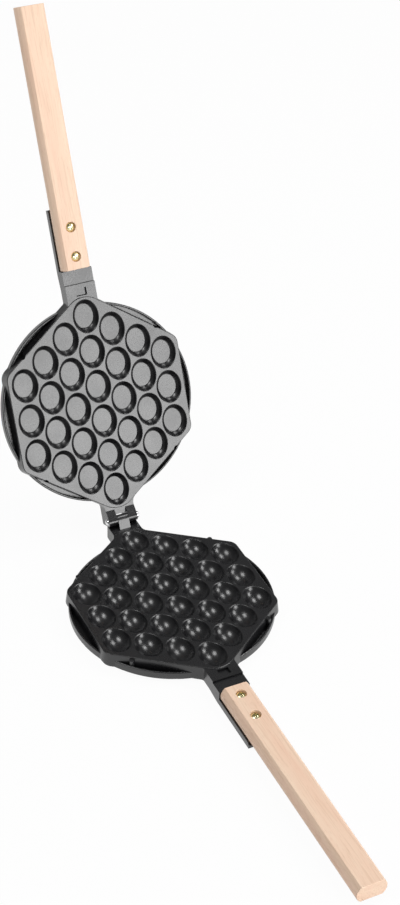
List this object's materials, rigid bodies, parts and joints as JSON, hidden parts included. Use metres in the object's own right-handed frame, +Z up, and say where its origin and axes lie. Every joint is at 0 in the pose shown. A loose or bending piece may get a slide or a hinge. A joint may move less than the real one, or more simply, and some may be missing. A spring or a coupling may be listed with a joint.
{
  "type": "bubble waffle pan",
  "caption": "Two cast moulds with rows of oval wells, hinged at one end and each on a wooden handle, for baking a bubbled waffle sheet over a stove burner.",
  "frame": {"origin": "centre of the lower mould's base ring, on the surface that the pan stands on", "axes": "+Z up, out of the lower mould's wells; +Y from the handles towards the hinge; +X along the hinge pin"},
  "size_m": [0.183, 0.6755, 0.4466],
  "materials": {
    "coated_casting": "satin black non-stick coating",
    "handle_wood": "smooth untreated beech",
    "screw_steel": "yellow zinc plated",
    "pin_steel": "polished"
  },
  "bodies": {
    "lower_half": {"lower_mould": "coated_casting", "lower_handle": "handle_wood", "lower_screw_1": "screw_steel", "lower_screw_2": "screw_steel", "lower_nut_1": "screw_steel", "lower_nut_2": "screw_steel"},
    "upper_half": {"upper_mould": "coated_casting", "upper_handle": "handle_wood", "upper_screw_1": "screw_steel", "upper_screw_2": "screw_steel", "upper_nut_1": "screw_steel", "upper_nut_2": "screw_steel", "hinge_pin": "pin_steel", "pin_cap": "pin_steel"}
  },
  "joints": [
    {"name": "lid_hinge", "type": "hinge", "parent": "lower_half", "child": "upper_half", "pos_m": [0, 0.11, 0.0236], "axis": [1, 0, 0], "range_deg": [0, 115]}
  ]
}
